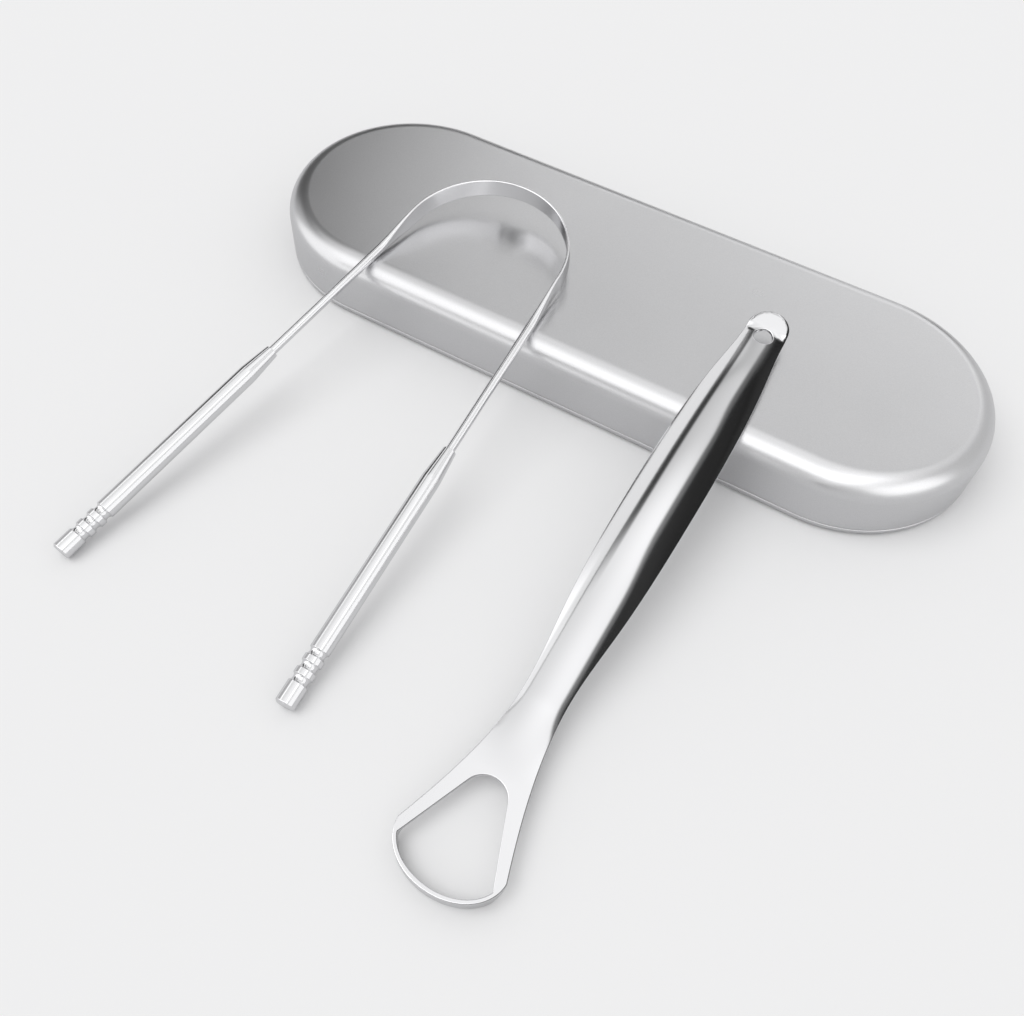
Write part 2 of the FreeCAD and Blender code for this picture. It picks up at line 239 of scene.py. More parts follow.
class Nodes:
    """A small helper that adds and joins the nodes of one tree."""

    def __init__(self, tree: bpy.types.NodeTree) -> None:
        """Keep the tree that the nodes go into."""
        self.tree = tree

    def add(self, kind: str, **settings: object) -> bpy.types.Node:
        """Add a node.

        Args:
            kind: the node's type name.
            settings: properties of the node to set.

        Returns:
            The new node.
        """
        node = self.tree.nodes.new(kind)
        for name, value in settings.items():
            setattr(node, name, value)
        return node

    def feed(self, socket: bpy.types.NodeSocket, value: object) -> None:
        """Join a socket to an output, or set its value.

        Args:
            socket: the input to feed.
            value: an output, or a number or colour.
        """
        if isinstance(value, bpy.types.NodeSocket):
            self.tree.links.new(value, socket)
        else:
            socket.default_value = value

    def math(self, operation: str, *values: object) -> bpy.types.NodeSocket:
        """Add a math node.

        Args:
            operation: the node's operation.
            values: numbers or outputs for its inputs.

        Returns:
            The node's output.
        """
        node = self.add("ShaderNodeMath", operation=operation)
        for socket, value in zip(node.inputs, values):
            self.feed(socket, value)
        return node.outputs[0]

    def total(self, first: object, second: object) -> bpy.types.NodeSocket:
        """Return the sum of two values."""
        return self.math("ADD", first, second)

    def minus(self, first: object, second: object) -> bpy.types.NodeSocket:
        """Return the first value less the second."""
        return self.math("SUBTRACT", first, second)

    def product(self, first: object, second: object) -> bpy.types.NodeSocket:
        """Return the product of two values."""
        return self.math("MULTIPLY", first, second)

    def distance(self, across: object, along: object) -> bpy.types.NodeSocket:
        """Return the length of a line from its two components."""
        squares = (self.math("POWER", self.math("ABSOLUTE", part), 2.0) for part in (across, along))
        return self.math("SQRT", self.total(*squares))

    def fade(self, value: object, fade: Fade) -> bpy.types.NodeSocket:
        """Map a value through a fade.

        Args:
            value: the output to map.
            fade: the change to put it through.

        Returns:
            The mapped output.
        """
        node = self.add("ShaderNodeMapRange", interpolation_type="SMOOTHSTEP")
        names = ("Value", "From Min", "From Max", "To Min", "To Max")
        for name, number in zip(names, (value, fade.low, fade.high, fade.start, fade.end)):
            self.feed(node.inputs[name], number)
        return node.outputs[0]


class GrainGroup:
    """The fine grain of worked metal: small pits and soft smudges, shared by every finish."""

    NAME = "metal_grain"
    DEFAULTS = (
        ("Grain Scale", 3000.0), ("Smudge Scale", 60.0), ("Smooth", 0.05), ("Rough", 0.1), ("Shade", 0.05))
    GRAIN_DETAIL = 2.0
    SMUDGE_DETAIL = 3.0
    SMUDGE_LOW = 0.3
    SMUDGE_HIGH = 0.7
    MEAN_GRAIN = 0.5
    _tree: Optional[bpy.types.NodeTree] = None

    @classmethod
    def tree(cls) -> bpy.types.NodeTree:
        """Make the node group on first use.

        Returns:
            The node group.
        """
        if cls._tree is None:
            cls._tree = cls._make()
        return cls._tree

    @classmethod
    def _make(cls) -> bpy.types.NodeTree:
        """Make the node group with its sockets and nodes.

        Returns:
            The new node group.
        """
        tree = bpy.data.node_groups.new(cls.NAME, "ShaderNodeTree")
        for name, value in cls.DEFAULTS:
            socket = tree.interface.new_socket(name, in_out="INPUT", socket_type="NodeSocketFloat")
            socket.default_value = value
        tree.interface.new_socket("Tint", in_out="INPUT", socket_type="NodeSocketColor")
        tree.interface.new_socket("Color", in_out="OUTPUT", socket_type="NodeSocketColor")
        tree.interface.new_socket("Roughness", in_out="OUTPUT", socket_type="NodeSocketFloat")
        tree.interface.new_socket("Height", in_out="OUTPUT", socket_type="NodeSocketFloat")
        nodes = Nodes(tree)
        inside = nodes.add("NodeGroupInput").outputs
        outside = nodes.add("NodeGroupOutput").inputs
        place = nodes.add("ShaderNodeTexCoord").outputs["Object"]
        grain = nodes.add("ShaderNodeTexNoise", noise_dimensions="3D")
        smudge = nodes.add("ShaderNodeTexNoise", noise_dimensions="3D")
        layers = ((grain, "Grain Scale", cls.GRAIN_DETAIL), (smudge, "Smudge Scale", cls.SMUDGE_DETAIL))
        for texture, scale, detail in layers:
            nodes.feed(texture.inputs["Vector"], place)
            nodes.feed(texture.inputs["Scale"], inside[scale])
            nodes.feed(texture.inputs["Detail"], detail)
        spread = nodes.add("ShaderNodeMapRange")
        nodes.feed(spread.inputs["Value"], smudge.outputs["Fac"])
        nodes.feed(spread.inputs["From Min"], cls.SMUDGE_LOW)
        nodes.feed(spread.inputs["From Max"], cls.SMUDGE_HIGH)
        nodes.feed(spread.inputs["To Min"], inside["Smooth"])
        nodes.feed(spread.inputs["To Max"], inside["Rough"])
        nodes.feed(outside["Roughness"], spread.outputs[0])
        dim = nodes.product(nodes.minus(grain.outputs["Fac"], cls.MEAN_GRAIN), inside["Shade"])
        level = nodes.total(1.0, dim)
        mix = nodes.add("ShaderNodeMix", data_type="RGBA", blend_type="MULTIPLY")
        nodes.feed(mix.inputs["Factor"], 1.0)
        nodes.feed(mix.inputs["A"], inside["Tint"])
        nodes.feed(mix.inputs["B"], level)
        nodes.feed(outside["Color"], mix.outputs["Result"])
        nodes.feed(outside["Height"], grain.outputs["Fac"])
        return tree


@dataclass(frozen=True)
class MetalFinish:
    """A metal finish with its own grain.

    Args:
        name: the material's name.
        slot: the record's slot that the finish stands for; not used.
        tint: colour of the metal.
        grain_scale: how fine the grain is, in grains per metre.
        smudge_scale: how fine the smudges are, in smudges per metre.
        smooth: roughness between the smudges.
        rough: roughness in the smudges.
        shade: how far the grain darkens the colour.
        bump: how far the grain tilts the surface.
        relief: depth of the grain in metres.
    """

    name: str
    slot: Slot
    tint: Colour
    grain_scale: float
    smudge_scale: float
    smooth: float
    rough: float
    shade: float
    bump: float
    relief: float

    def material(self) -> bpy.types.Material:
        """Make the finish's material on first use.

        Returns:
            The material.
        """
        known = bpy.data.materials.get(self.name)
        if known is not None:
            return known
        material = bpy.data.materials.new(self.name)
        material.use_nodes = True
        tree = material.node_tree
        tree.nodes.clear()
        nodes = Nodes(tree)
        output = nodes.add("ShaderNodeOutputMaterial")
        metal = nodes.add("ShaderNodeBsdfPrincipled")
        metal.inputs["Metallic"].default_value = 1.0
        nodes.feed(output.inputs["Surface"], metal.outputs["BSDF"])
        grain = nodes.add("ShaderNodeGroup", node_tree=GrainGroup.tree())
        values = (
            ("Grain Scale", self.grain_scale), ("Smudge Scale", self.smudge_scale), ("Smooth", self.smooth),
            ("Rough", self.rough), ("Shade", self.shade), ("Tint", (*self.tint, 1.0)))
        for name, value in values:
            nodes.feed(grain.inputs[name], value)
        nodes.feed(metal.inputs["Base Color"], grain.outputs["Color"])
        nodes.feed(metal.inputs["Roughness"], grain.outputs["Roughness"])
        bump = nodes.add("ShaderNodeBump")
        nodes.feed(bump.inputs["Strength"], self.bump)
        nodes.feed(bump.inputs["Distance"], self.relief)
        nodes.feed(bump.inputs["Height"], grain.outputs["Height"])
        nodes.feed(metal.inputs["Normal"], bump.outputs["Normal"])
        return material

    def dress(self, piece: bpy.types.Object) -> None:
        """Give a piece this finish.

        Args:
            piece: the piece to dress.
        """
        piece.data.materials.clear()
        piece.data.materials.append(self.material())


SATIN_CASE = MetalFinish(
    "satin_case", Slot.CASE, (0.70, 0.70, 0.71), grain_scale=5200.0, smudge_scale=45.0,
    smooth=0.27, rough=0.33, shade=0.16, bump=0.12, relief=0.00006)
POLISHED_STEEL = MetalFinish(
    "polished_steel", Slot.STEEL, (0.90, 0.90, 0.905), grain_scale=2600.0, smudge_scale=110.0,
    smooth=0.045, rough=0.085, shade=0.03, bump=0.02, relief=0.00002)


@dataclass
class Case:
    """The slip-lid case: a drawn tray and a drawn lid with half round ends."""

    length: float = 165.0
    width: float = 57.0
    height: float = 15.5
    sheet: float = 0.6
    lid_edge_radius: float = 5.0
    rim_height: float = 2.0
    rim_edge_radius: float = 1.6
    step_rounding: float = 0.72
    seam_gap: float = 0.15
    wall_inset: float = 0.85
    wall_top: float = 10.0
    edge_rounding: float = 0.18
    cap_margin: float = 9.0
    ledge_rounding: float = 0.05
    end_steps: int = 96
    side_steps: int = 24
    lid_rounding_steps: int = 14
    tray_rounding_steps: int = 8

    def outline(self) -> tuple[Array, Array]:
        """Lay out the case's outline: two half rounds and two straight sides.

        Returns:
            The middle line's points that the outline turns round, and its outward directions.
        """
        reach = (self.length - self.width) / 2
        middles: list[tuple[float, float]] = []
        ways: list[tuple[float, float]] = []
        for sign in (1, -1):
            for step in range(self.end_steps + 1):
                angle = math.pi * step / self.end_steps - math.pi / 2
                ways.append((sign * math.cos(angle), sign * math.sin(angle)))
                middles.append((sign * reach, 0.0))
            for step in range(1, self.side_steps):
                ways.append((0.0, float(sign)))
                middles.append((sign * reach * (1 - 2 * step / self.side_steps), 0.0))
        return np.array(middles), np.array(ways)

    def sweep(self, name: str, corners: Sequence[Corner], steps: int) -> bpy.types.Object:
        """Sweep a profile round the outline and close both its ends.

        Args:
            name: the piece's name.
            corners: the profile's corners, as distances inwards from the outside and heights.
            steps: how many steps a rounding has.

        Returns:
            The new piece.
        """
        half = self.width / 2
        turned = [Corner(half - corner.out, corner.up, corner.radius) for corner in corners]
        profile, tilts = rounded_profile(turned, steps)
        middles, ways = self.outline()
        count = len(ways)
        draft = Draft()
        for (out, up), (tilt_out, tilt_up) in zip(profile, tilts):
            ring = np.column_stack([middles + ways * out, np.full(count, up)])
            normals = np.column_stack([ways * tilt_out, np.full(count, tilt_up)])
            draft.add(ring, normals)
        draft.skin(0, len(profile), count, True)
        last = (len(profile) - 1) * count
        draft.faces.append(tuple(range(count - 1, -1, -1)))
        draft.faces.append(tuple(range(last, last + count)))
        return draft.build(name, Matrix.Identity(4))

    def make_lid(self) -> bpy.types.Object:
        """Make the lid: a skirt, a rounded top edge and a flat top.

        Returns:
            The new piece.
        """
        bottom = self.rim_height + self.seam_gap
        ceiling = self.height - self.sheet
        lip = self.edge_rounding
        corners = [
            Corner(self.cap_margin, ceiling),
            Corner(self.sheet, ceiling, self.lid_edge_radius - self.sheet),
            Corner(self.sheet, bottom, lip),
            Corner(0.0, bottom, lip),
            Corner(0.0, self.height, self.lid_edge_radius),
            Corner(self.cap_margin, self.height),
        ]
        return self.sweep("lid_shell", corners, self.lid_rounding_steps)

    def make_base(self) -> bpy.types.Object:
        """Make the tray: a rim flush with the lid and a wall that stands inside it.

        Returns:
            The new piece.
        """
        lip = self.edge_rounding
        inner = self.wall_inset + self.sheet
        ledge = self.rim_height - self.sheet
        corners = [
            Corner(self.cap_margin, 0.0),
            Corner(0.0, 0.0, self.rim_edge_radius),
            Corner(0.0, self.rim_height, lip),
            Corner(self.wall_inset, self.rim_height, lip),
            Corner(self.wall_inset, self.wall_top, lip),
            Corner(inner, self.wall_top, lip),
            Corner(inner, ledge, lip),
            Corner(self.sheet, ledge, self.ledge_rounding),
            Corner(self.sheet, self.sheet, self.step_rounding),
            Corner(self.cap_margin, self.sheet),
        ]
        return self.sweep("tray_shell", corners, self.tray_rounding_steps)

    def build(self) -> list[bpy.types.Object]:
        """Build and dress the case.

        Returns:
            The lid and the tray.
        """
        lid = self.make_lid()
        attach(lid, Body.LID.value)
        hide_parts("case_lid")
        base = self.make_base()
        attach(base, Body.BASE.value)
        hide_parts("case_base")
        for piece in (lid, base):
            SATIN_CASE.dress(piece)
        return [lid, base]


@dataclass
class WireScraper:
    """The U-shaped scraper: a wire flattened round its arch, with a turned handle on each end."""

    length: float = 119.1
    tip_spacing: float = 54.2
    arch_radius: float = 18.5
    wire_diameter: float = 1.85
    band_width: float = 4.4
    band_thickness: float = 0.6
    band_crown: float = 0.02
    blend_length: float = 13.0
    handle_length: float = 56.6
    handle_diameter: float = 3.9
    taper_length: float = 7.0
    end_wall: float = 0.43
    tip_chamfer: float = 0.4
    first_groove: float = 5.1
    groove_pitch: float = 2.65
    groove_count: int = 3
    groove_width: float = 1.5
    groove_slope: float = 56.0
    groove_floor_radius: float = 0.84
    groove_edge_radius: float = 0.1
    socket_depth: float = 12.0
    socket_clearance: float = 0.02
    socket_end_gap: float = 0.2
    edge_rounding: float = 0.09
    taper_rounding: float = 12.0
    socket_rounding: float = 0.02
    turn_steps: int = 72
    profile_steps: int = 8
    flat_steps: int = 18
    round_steps: int = 14
    arm_stations: int = 40
    blend_stations: int = 48
    arch_stations: int = 121
    place: Matrix = field(default_factory=lambda: placement(-33.8, -111.65342, 1.95, -3.44, 9.58359))

    def __post_init__(self) -> None:
        """Work out the arms from the overall sizes."""
        self.arch_centre = self.length - self.arch_radius - self.band_thickness / 2
        reach = math.hypot(self.tip_spacing / 2, self.arch_centre)
        self.arm_length = math.sqrt(reach ** 2 - self.arch_radius ** 2)
        lean = math.atan2(self.tip_spacing / 2, self.arch_centre)
        self.arm_angle = lean - math.asin(self.arch_radius / reach)

    def arm_place(self, side: int) -> Matrix:
        """Return where an arm's own axes lie in the U, for side 1 on the right and -1 on the left."""
        turn = Matrix.Rotation(side * self.arm_angle, 4, "Z")
        return Matrix.Translation((side * self.tip_spacing / 2, 0, 0)) @ turn

    def section(self, flatness: float) -> Array:
        """Draw the wire's section.

        Args:
            flatness: 0 for the round wire and 1 for the flat band.

        Returns:
            Rows of two coordinates, across and up.
        """
        half_round = self.wire_diameter / 2
        side = half_round + (self.band_thickness / 2 - half_round) * flatness
        top = half_round + (self.band_width / 2 - half_round) * flatness
        round_corner = half_round * math.sqrt(0.5)
        corner_x = round_corner + (self.band_thickness / 2 - self.band_crown - round_corner) * flatness
        corner_z = round_corner + ((self.band_width - self.band_thickness) / 2 - round_corner) * flatness
        quarters = [
            self.three_point_arc((corner_x, -corner_z), (side, 0.0), (corner_x, corner_z), self.flat_steps),
            self.three_point_arc((corner_x, corner_z), (0.0, top), (-corner_x, corner_z), self.round_steps),
            self.three_point_arc(
                (-corner_x, corner_z), (-side, 0.0), (-corner_x, -corner_z), self.flat_steps),
            self.three_point_arc(
                (-corner_x, -corner_z), (0.0, -top), (corner_x, -corner_z), self.round_steps),
        ]
        return np.vstack(quarters)

    @staticmethod
    def three_point_arc(start: Sequence[float], middle: Sequence[float], end: Sequence[float],
                        steps: int) -> Array:
        """Return points along a symmetric arc through three points.

        Args:
            start: the arc's first point.
            middle: its middle point.
            end: its last point, which isn't returned.
            steps: how many steps the arc has.

        Returns:
            Rows of two coordinates.
        """
        first, top, last = (np.array(p, float) for p in (start, middle, end))
        chord = (first + last) / 2
        half = np.linalg.norm(last - first) / 2
        rise = np.linalg.norm(top - chord)
        radius = (half ** 2 + rise ** 2) / (2 * rise)
        up = (top - chord) / rise
        along = (last - first) / (2 * half)
        centre = top - up * radius
        spread = math.atan2(half, radius - rise)
        angles = np.linspace(-spread, spread, steps + 1)[:-1]
        return centre + radius * (np.outer(np.sin(angles), along) + np.outer(np.cos(angles), up))

    def stations(self) -> list[tuple[Matrix, float]]:
        """Lay out the wire from its right end to its left.

        Returns:
            Places along the wire, with the flatness at each.
        """
        start = self.handle_length - self.socket_depth + self.socket_end_gap
        blend_start = self.arm_length - self.blend_length
        along = np.concatenate([
            np.linspace(start, blend_start, self.arm_stations)[:-1],
            np.linspace(blend_start, self.arm_length, self.blend_stations)])
        flatness = ease((along - blend_start) / self.blend_length)
        arms: dict[int, list[tuple[Matrix, float]]] = {}
        for side in (1, -1):
            place = self.arm_place(side)
            arms[side] = [(place @ Matrix.Translation((0, y, 0)), flat) for y, flat in zip(along, flatness)]
        centre = Vector((0, self.arch_centre, 0))
        sweep = math.pi - 2 * self.arm_angle
        arch = []
        for angle in np.linspace(0, sweep, self.arch_stations)[1:-1]:
            turn = Matrix.Translation(centre) @ Matrix.Rotation(angle, 4, "Z") @ Matrix.Translation(-centre)
            arch.append((turn @ arms[1][-1][0], 1.0))
        mirror = Matrix.Rotation(math.pi, 4, "Z")
        left = [(place @ mirror, flat) for place, flat in reversed(arms[-1])]
        return arms[1] + arch + left

    def make_wire(self) -> bpy.types.Object:
        """Make the wire with its flattened arch.

        Returns:
            The new piece.
        """
        rows = []
        for place, flatness in self.stations():
            section = self.section(flatness)
            flat = np.column_stack([section[:, 0], np.zeros(len(section)), section[:, 1]])
            rows.append(flat @ np.array(place.to_3x3()).T + np.array(place.translation))
        grid = np.array(rows)
        along = np.gradient(grid, axis=0)
        across = np.roll(grid, -1, axis=1) - np.roll(grid, 1, axis=1)
        normals = np.cross(along, across)
        draft = Draft()
        draft.add(grid, normals)
        count = grid.shape[1]
        draft.skin(0, len(grid), count, True)
        for ring, order in ((grid[0], -1), (grid[-1], 1)):
            way = (along[0] if order < 0 else along[-1]).mean(axis=0) * order
            first = draft.add(ring, np.tile(way, (count, 1)))
            face = tuple(range(first, first + count))
            draft.faces.append(face if order > 0 else face[::-1])
        draft.turn_over()
        return draft.build("bent_wire", self.place)

    def handle_corners(self) -> list[Corner]:
        """Lay out a handle's turned profile.

        Returns:
            Its corners, from the middle of its tip to the middle of its socket's floor.
        """
        radius = self.handle_diameter / 2
        lip = self.edge_rounding
        socket = self.wire_diameter / 2 + self.socket_clearance
        floor = self.handle_length - self.socket_depth
        corners = [
            Corner(0.0, 0.0),
            Corner(radius - self.tip_chamfer, 0.0, lip),
            Corner(radius, self.tip_chamfer, 2 * lip),
        ]
        half = self.groove_width / 2
        depth = half * math.tan(math.radians(self.groove_slope))
        for index in range(self.groove_count):
            middle = self.first_groove + index * self.groove_pitch
            corners.append(Corner(radius, middle - half, self.groove_edge_radius))
            corners.append(Corner(radius - depth, middle, self.groove_floor_radius))
            corners.append(Corner(radius, middle + half, self.groove_edge_radius))
        corners += [
            Corner(radius, self.handle_length - self.taper_length, self.taper_rounding),
            Corner(socket + self.end_wall, self.handle_length, lip),
            Corner(socket, self.handle_length, self.socket_rounding),
            Corner(socket, floor, self.socket_rounding),
            Corner(0.0, floor),
        ]
        return corners

    def make_handle(self, name: str, side: int) -> bpy.types.Object:
        """Make one turned handle.

        Args:
            name: the piece's name.
            side: 1 for the right handle and -1 for the left.

        Returns:
            The new piece.
        """
        profile, tilts = rounded_profile(self.handle_corners(), self.profile_steps)
        angles = np.linspace(0, 2 * math.pi, self.turn_steps, endpoint=False)
        around = np.column_stack([np.cos(angles), np.zeros(len(angles)), np.sin(angles)])
        axis = np.array([0.0, 1.0, 0.0])
        draft = Draft()
        for (out, up), (tilt_out, tilt_up) in zip(profile[1:-1], tilts[1:-1]):
            draft.add(around * out + axis * up, around * tilt_out + axis * tilt_up)
        rows = len(profile) - 2
        draft.skin(0, rows, self.turn_steps, True)
        last = (rows - 1) * self.turn_steps
        draft.faces.append(tuple(range(self.turn_steps - 1, -1, -1)))
        draft.faces.append(tuple(range(last, last + self.turn_steps)))
        draft.turn_over()
        return draft.build(name, self.place @ self.arm_place(side))

    def build(self) -> list[bpy.types.Object]:
        """Build and dress the wire scraper.

        Returns:
            The wire and its two handles.
        """
        wire = self.make_wire()
        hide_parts("scraper_wire")
        left = self.make_handle("turned_handle_left", -1)
        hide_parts("left_handle")
        right = self.make_handle("turned_handle_right", 1)
        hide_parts("right_handle")
        pieces = [wire, left, right]
        for piece in pieces:
            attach(piece, Body.WIRE_SCRAPER.value)
            POLISHED_STEEL.dress(piece)
        return pieces


class ClampedSpline:
    """A smooth curve through stations, with a given slope at each end."""

    def __init__(self, stations: Sequence[tuple[float, float]], start_slope: float,
                 end_slope: float) -> None:
        """Work out the slope at every station.

        Args:
            stations: pairs of a place along the curve and the value there.
            start_slope: slope at the first station.
            end_slope: slope at the last station.
        """
        self.at = np.array([station[0] for station in stations])
        self.value = np.array([station[1] for station in stations])
        count = len(self.at)
        steps = np.diff(self.at)
        rises = np.diff(self.value)
        matrix = np.eye(count)
        right = np.zeros(count)
        right[0] = start_slope
        right[-1] = end_slope
        for i in range(1, count - 1):
            matrix[i, i - 1] = 1 / steps[i - 1]
            matrix[i, i] = 2 / steps[i - 1] + 2 / steps[i]
            matrix[i, i + 1] = 1 / steps[i]
            right[i] = 3 * (rises[i - 1] / steps[i - 1] ** 2 + rises[i] / steps[i] ** 2)
        self.slope = np.linalg.solve(matrix, right)

    def __call__(self, at: Array) -> Array:
        """Read the curve.

        Args:
            at: places along it.

        Returns:
            The values there.
        """
        at = np.clip(at, self.at[0], self.at[-1])
        i = np.clip(np.searchsorted(self.at, at) - 1, 0, len(self.at) - 2)
        step = self.at[i + 1] - self.at[i]
        u = (at - self.at[i]) / step
        rest = 1 - u
        start = rest ** 2 * (1 + 2 * u) * self.value[i] + u * rest ** 2 * step * self.slope[i]
        end = u ** 2 * (3 - 2 * u) * self.value[i + 1] - u ** 2 * rest * step * self.slope[i + 1]
        return start + end


@dataclass
class LoopScraper:
    """The pressed scraper: a flat loop with a turned-down blade, and a bowed and crowned handle."""

    length: float = 130.6
    sheet: float = 0.8
    loop_width: float = 20.4
    front_depth: float = 7.5
    flare: float = 0.33
    blade_height: float = 3.2
    fold_length: float = 3.0
    cut_top: float = 20.8
    cut_top_radius: float = 4.0
    cut_flare_angle: float = 21.8
    waist: tuple[float, float] = (37.4, 8.6)
    swell: tuple[float, float] = (52.0, 11.0)
    grip: tuple[float, float] = (76.0, 13.2)
    taper: tuple[float, float] = (113.0, 11.0)
    end_radius: float = 4.45
    crown_height: float = 2.4
    crown_start: float = 21.0
    crown_full: float = 37.0
    pad_at: float = 125.6
    pad_blend: float = 1.1
    pad_angle: float = 12.0
    pad_roll: float = 0.8
    neck_at: float = 24.0
    neck_bend_angle: float = 10.5
    neck_radius: float = 60.0
    bow_radius: float = 490.0
    hole_diameter: float = 4.0
    hole_setback: float = 6.8
    edge_rounding: float = 0.2
    edge_steps: int = 4
    spacing: float = 0.55
    row_share: float = 0.866
    clear_share: float = 0.5
    least_rise: float = 1e-5
    roll_share: float = 0.9
    slope_step: float = 0.02
    blade_fade: float = 0.6
    front_steps: int = 64
    side_points: int = 230
    end_points: int = 41
    cut_top_points: int = 33
    cut_front_steps: int = 160
    cut_side_points: int = 28
    hole_points: int = 64
    merge_distance: float = 1e-7
    place: Matrix = field(default_factory=lambda: placement(30.8, -126.8, 0.0, -1.15, 2.61196))

    def __post_init__(self) -> None:
        """Work out the curves from the sizes."""
        self.half = self.loop_width / 2
        self.end_centre = self.length - self.end_radius
        stations = [(self.front_depth, self.half)]
        stations += [(at, width / 2) for at, width in (self.waist, self.swell, self.grip, self.taper)]
        stations.append((self.end_centre, self.end_radius))
        self.half_width = ClampedSpline(stations, -self.flare, 0.0)
        grip_half = self.grip[1] / 2
        self.crown_radius = (grip_half ** 2 + self.crown_height ** 2) / (2 * self.crown_height)
        bend = math.radians(self.neck_bend_angle)
        self.bow_start = self.neck_at + self.neck_radius * math.sin(bend)
        bow_start_height = self.blade_height + self.neck_radius * (1 - math.cos(bend))
        self.bow_centre = self.bow_start + self.bow_radius * math.sin(bend)
        self.bow_centre_height = bow_start_height - self.bow_radius * math.cos(bend)

    def edge_height(self, along: Array) -> Array:
        """Work out the sheet's upper edge: level, bent up at the neck, then bowed.

        Args:
            along: places along the sheet.

        Returns:
            The heights there.
        """
        bent = np.clip(along, self.neck_at, self.bow_start) - self.neck_at
        neck = self.blade_height + self.neck_radius - np.sqrt(self.neck_radius ** 2 - bent ** 2)
        bowed = np.maximum(along, self.bow_start) - self.bow_centre
        bow = self.bow_centre_height + np.sqrt(self.bow_radius ** 2 - bowed ** 2)
        return np.where(along <= self.bow_start, neck, bow)

    def top(self, across: Array, along: Array) -> Array:
        """Work out the sheet's upper face: crowned handle and bent hang pad.

        Args:
            across: places across the sheet.
            along: places along it.

        Returns:
            The heights there.
        """
        on_handle = np.minimum(along, self.pad_at + self.pad_blend)
        half = self.half_width(on_handle)
        full = self.crown_radius - np.sqrt(self.crown_radius ** 2 - half ** 2)
        rise = full * ease((on_handle - self.crown_start) / (self.crown_full - self.crown_start))
        rise = np.maximum(rise, self.least_rise)
        radius = (half ** 2 + rise ** 2) / (2 * rise)
        middle = self.edge_height(on_handle) + rise
        handle = middle - radius + np.sqrt(np.maximum(radius ** 2 - across ** 2, 0.0))
        onto_pad = ease((along - self.pad_at + self.pad_blend) / (2 * self.pad_blend))
        pad = middle + (along - self.pad_at) * math.tan(math.radians(self.pad_angle))
        to_edge = self.end_radius - np.hypot(across, np.maximum(along - self.end_centre, 0.0))
        rolled = self.pad_roll - np.clip(to_edge, 0.0, self.pad_roll)
        pad = pad - self.pad_roll + np.sqrt(self.pad_roll ** 2 - self.roll_share * rolled ** 2)
        return handle + (pad - handle) * onto_pad

    def tilt(self, plan: Array) -> Array:
        """Work out how the sheet's upper face is tilted.

        Args:
            plan: rows of two plan coordinates.

        Returns:
            The upward normal at each point.
        """
        step = self.slope_step
        across, along = plan[:, 0], plan[:, 1]
        slope_x = (self.top(across + step, along) - self.top(across - step, along)) / (2 * step)
        slope_y = (self.top(across, along + step) - self.top(across, along - step)) / (2 * step)
        normals = np.column_stack([-slope_x, -slope_y, np.ones(len(plan))])
        return normals / np.linalg.norm(normals, axis=1, keepdims=True)

    def front(self, inset: float, steps: int) -> Array:
        """Lay out the half ellipse of the loop's front.

        Args:
            inset: how far inwards it is moved.
            steps: how many steps it has.

        Returns:
            Rows of two plan coordinates, from left to right.
        """
        angles = np.linspace(math.pi, 2 * math.pi, steps + 1)
        wide, deep = self.half - inset, self.front_depth - inset
        return np.column_stack([wide * np.cos(angles), self.front_depth + deep * np.sin(angles)])

    def outline(self) -> Array:
        """Lay out the sheet's outline.

        Returns:
            Rows of two plan coordinates, counter-clockwise from the loop's left corner.
        """
        along = np.linspace(self.front_depth, self.end_centre, self.side_points)
        right = np.column_stack([self.half_width(along), along])
        angles = np.linspace(0, math.pi, self.end_points)
        circle = np.column_stack([np.cos(angles), np.sin(angles)])
        end = circle * self.end_radius + (0.0, self.end_centre)
        left = right[::-1] * (-1, 1)
        return np.vstack([self.front(0.0, self.front_steps), right[1:], end[1:], left[1:-1]])

    def cut_out(self) -> Array:
        """Lay out the loop's opening.

        Returns:
            Rows of two plan coordinates, counter-clockwise from its right side.
        """
        flare = math.radians(self.cut_flare_angle)
        centre = self.cut_top - self.cut_top_radius
        angles = np.linspace(flare, math.pi - flare, self.cut_top_points)
        circle = np.column_stack([np.cos(angles), np.sin(angles)])
        top = circle * self.cut_top_radius + (0.0, centre)
        front = self.front(self.sheet, self.cut_front_steps)
        limit = top[0, 0] + (top[0, 1] - front[:, 1]) * math.tan(flare)
        kept = front[np.abs(front[:, 0]) < limit]
        rights = np.linspace(kept[-1], top[0], self.cut_side_points)[1:-1]
        lefts = np.linspace(top[-1], kept[0], self.cut_side_points)[1:-1]
        return np.vstack([rights, top, lefts, kept])

    def hole(self) -> Array:
        """Lay out the hang hole.

        Returns:
            Rows of two plan coordinates, counter-clockwise.
        """
        angles = np.linspace(0, 2 * math.pi, self.hole_points, endpoint=False)
        circle = np.column_stack([np.cos(angles), np.sin(angles)])
        return circle * self.hole_diameter / 2 + (0.0, self.length - self.hole_setback)

    @staticmethod
    def sideways(loop: Array) -> Array:
        """Work out the directions on a loop's right hand.

        Args:
            loop: the loop's points in order.

        Returns:
            A unit direction for each point.
        """
        along = np.roll(loop, -1, axis=0) - np.roll(loop, 1, axis=0)
        normals = np.column_stack([along[:, 1], -along[:, 0]])
        return normals / np.linalg.norm(normals, axis=1, keepdims=True)

    @staticmethod
    def inside(points: Array, loop: Array) -> Array:
        """Find the points that lie inside a loop.

        Args:
            points: rows of two plan coordinates.
            loop: the loop's points in order.

        Returns:
            Whether each point lies inside.
        """
        x, y = points[:, :1], points[:, 1:]
        ax, ay = loop[:, 0], loop[:, 1]
        bx, by = np.roll(ax, -1), np.roll(ay, -1)
        crosses = (ay > y) != (by > y)
        rise = np.where(by == ay, 1.0, by - ay)
        at = ax + (y - ay) / rise * (bx - ax)
        return (crosses & (x < at)).sum(axis=1) % 2 == 1

